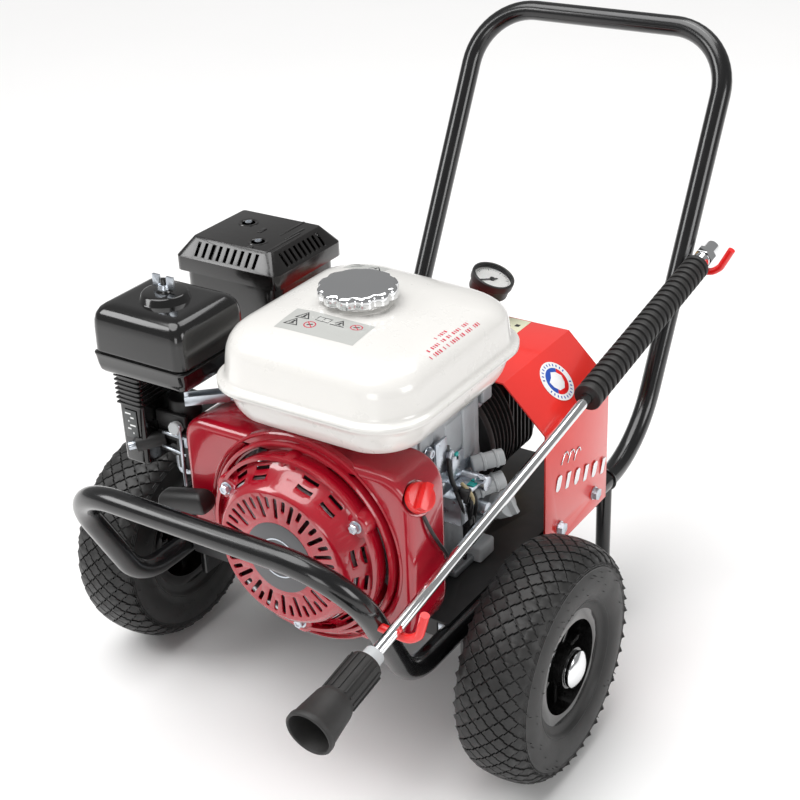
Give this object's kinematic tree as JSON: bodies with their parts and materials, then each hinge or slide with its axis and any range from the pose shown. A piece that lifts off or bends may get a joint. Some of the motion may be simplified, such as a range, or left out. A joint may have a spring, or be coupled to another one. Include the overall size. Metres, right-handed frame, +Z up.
{
  "type": "pressure washer",
  "caption": "Petrol pressure washer: engine and pump on a tubular trolley with two pneumatic wheels, a bent handle, a folded pump cover and a side-hung lance.",
  "frame": {"origin": "on the ground, at the middle of the machine's length and width", "axes": "+X towards the lance side, +Y towards the handle, +Z up"},
  "size_m": [0.5988, 0.9853, 0.6393],
  "materials": {
    "frame_black": "gloss black powder coat",
    "deck_black": "satin black powder coat",
    "cover_red": "gloss orange-red powder coat",
    "shroud_red": "gloss crimson paint",
    "tank_white": "gloss white paint",
    "chrome": "polished",
    "zinc": "zinc plated",
    "steel": "machined",
    "cast_alu": "die cast",
    "black_gloss": "moulded gloss black",
    "black_matte": "moulded satin black",
    "heat_black": "heat resistant gloss black",
    "rubber": "moulded black rubber",
    "tyre": "black tyre rubber",
    "brass": "machined brass",
    "signal_red": "dipped red vinyl and red switch plastic",
    "dial_white": "printed white dial",
    "lens": "clear",
    "filter_paper": "pleated filter paper",
    "ceramic": "glazed insulator",
    "grey_plastic": "light grey moulding"
  },
  "bodies": {
    "machine": {"handle_hoop": "frame_black", "base_frame": "frame_black", "rear_stand": "frame_black", "base_plate": "deck_black", "rubber_feet": "rubber", "axle": "zinc", "axle_caps": "chrome", "pump_cover": "cover_red", "hex_bolts": "zinc", "lance_hooks": "signal_red", "crankcase": "cast_alu", "crankcase_cover": "cast_alu", "cylinder_head": "cast_alu", "rocker_cover": "heat_black", "spark_plug": "ceramic", "plug_cap": "black_matte", "fan_shroud": "shroud_red", "recoil_housing": "shroud_red", "fuel_tank": "tank_white", "air_cleaner_base": "black_matte", "filter_element": "filter_paper", "carburettor": "cast_alu", "float_bowl": "zinc", "muffler": "heat_black", "muffler_guard": "heat_black", "switch_housing": "black_matte", "control_unit": "zinc", "pump_flange": "deck_black", "pump_crankcase": "deck_black", "pump_head": "brass", "valve_caps": "brass", "unloader_valve": "brass", "inlet_fitting": "brass", "outlet_fitting": "zinc", "gauge_case": "black_matte", "gauge_dial": "dial_white", "gauge_lens": "lens"},
    "wheel_left": {"tyre_left": "tyre", "rim_left": "black_gloss"},
    "wheel_right": {"tyre_right": "tyre", "rim_right": "black_gloss"},
    "lance": {"lance_tube": "chrome", "lance_grip": "rubber", "lance_fitting": "zinc", "nozzle_holder": "grey_plastic", "nozzle_guard": "rubber"},
    "cap": {"fuel_cap": "chrome"},
    "air_cover": {"air_cleaner_cover": "black_gloss"},
    "cover_nut": {"wing_nut": "zinc"},
    "starter": {"starter_grip": "black_matte"},
    "throttle": {"throttle_lever": "zinc"},
    "choke": {"choke_lever": "black_matte"},
    "fuel_tap": {"fuel_lever": "black_matte"},
    "switch": {"switch_knob": "signal_red"},
    "dipstick": {"oil_plug": "grey_plastic"},
    "pressure_control": {"pressure_knob": "signal_red"},
    "needle": {"gauge_needle": "black_matte"},
    "crank": {"crankshaft": "steel", "flywheel": "cast_alu", "pump_shaft": "steel"}
  },
  "joints": [
    {"name": "wheel_left_spin", "type": "hinge", "parent": "machine", "child": "wheel_left", "pos_m": [-0.2536, -0.15188, 0.13], "axis": [1, 0, 0], "continuous": true},
    {"name": "wheel_right_spin", "type": "hinge", "parent": "machine", "child": "wheel_right", "pos_m": [0.2536, -0.15188, 0.13], "axis": [1, 0, 0], "continuous": true},
    {"name": "lance_lift", "type": "slide", "parent": "machine", "child": "lance", "axis": [0, 0, 1], "range_m": [0, 0.25]},
    {"name": "cap_turn", "type": "hinge", "parent": "machine", "child": "cap", "pos_m": [0.066, -0.18388, 0.512], "axis": [0, 0, 1], "range_deg": [0, 90]},
    {"name": "air_cover_lift", "type": "slide", "parent": "machine", "child": "air_cover", "axis": [0, 0, 1], "range_m": [0, 0.12]},
    {"name": "wing_nut_turn", "type": "hinge", "parent": "air_cover", "child": "cover_nut", "pos_m": [-0.1205, -0.25388, 0.51], "axis": [0, 0, 1], "continuous": true},
    {"name": "starter_pull", "type": "slide", "parent": "machine", "child": "starter", "axis": [-0.5, -0.5, 0.7071], "range_m": [0, 0.5]},
    {"name": "throttle_turn", "type": "hinge", "parent": "machine", "child": "throttle", "pos_m": [-0.057, -0.23388, 0.395], "axis": [0, 0, 1], "range_deg": [-20, 20]},
    {"name": "choke_turn", "type": "hinge", "parent": "machine", "child": "choke", "pos_m": [-0.113, -0.26888, 0.363], "axis": [0, 1, 0], "range_deg": [0, 70]},
    {"name": "fuel_tap_turn", "type": "hinge", "parent": "machine", "child": "fuel_tap", "pos_m": [-0.113, -0.26888, 0.338], "axis": [0, 1, 0], "range_deg": [-70, 0]},
    {"name": "switch_turn", "type": "hinge", "parent": "machine", "child": "switch", "pos_m": [0.1764, -0.26468, 0.3605], "axis": [0.8029, -0.3002, 0.515], "range_deg": [0, 60]},
    {"name": "dipstick_turn", "type": "hinge", "parent": "machine", "child": "dipstick", "pos_m": [0.124, -0.06388, 0.2215], "axis": [0.866, 0, 0.5], "range_deg": [0, 360]},
    {"name": "pressure_knob_turn", "type": "hinge", "parent": "machine", "child": "pressure_control", "pos_m": [0.004, 0.11212, 0.3095], "axis": [-1, 0, 0], "range_deg": [-360, 360]},
    {"name": "needle_swing", "type": "hinge", "parent": "machine", "child": "needle", "pos_m": [0.04749, 0.10612, 0.41688], "axis": [0.3746, 0, 0.9272], "range_deg": [-270, 0], "stiffness_Nm_per_rad": 0.001},
    {"name": "crank_turn", "type": "hinge", "parent": "machine", "child": "crank", "pos_m": [0.054, -0.15188, 0.2875], "axis": [0, 1, 0], "continuous": true}
  ]
}
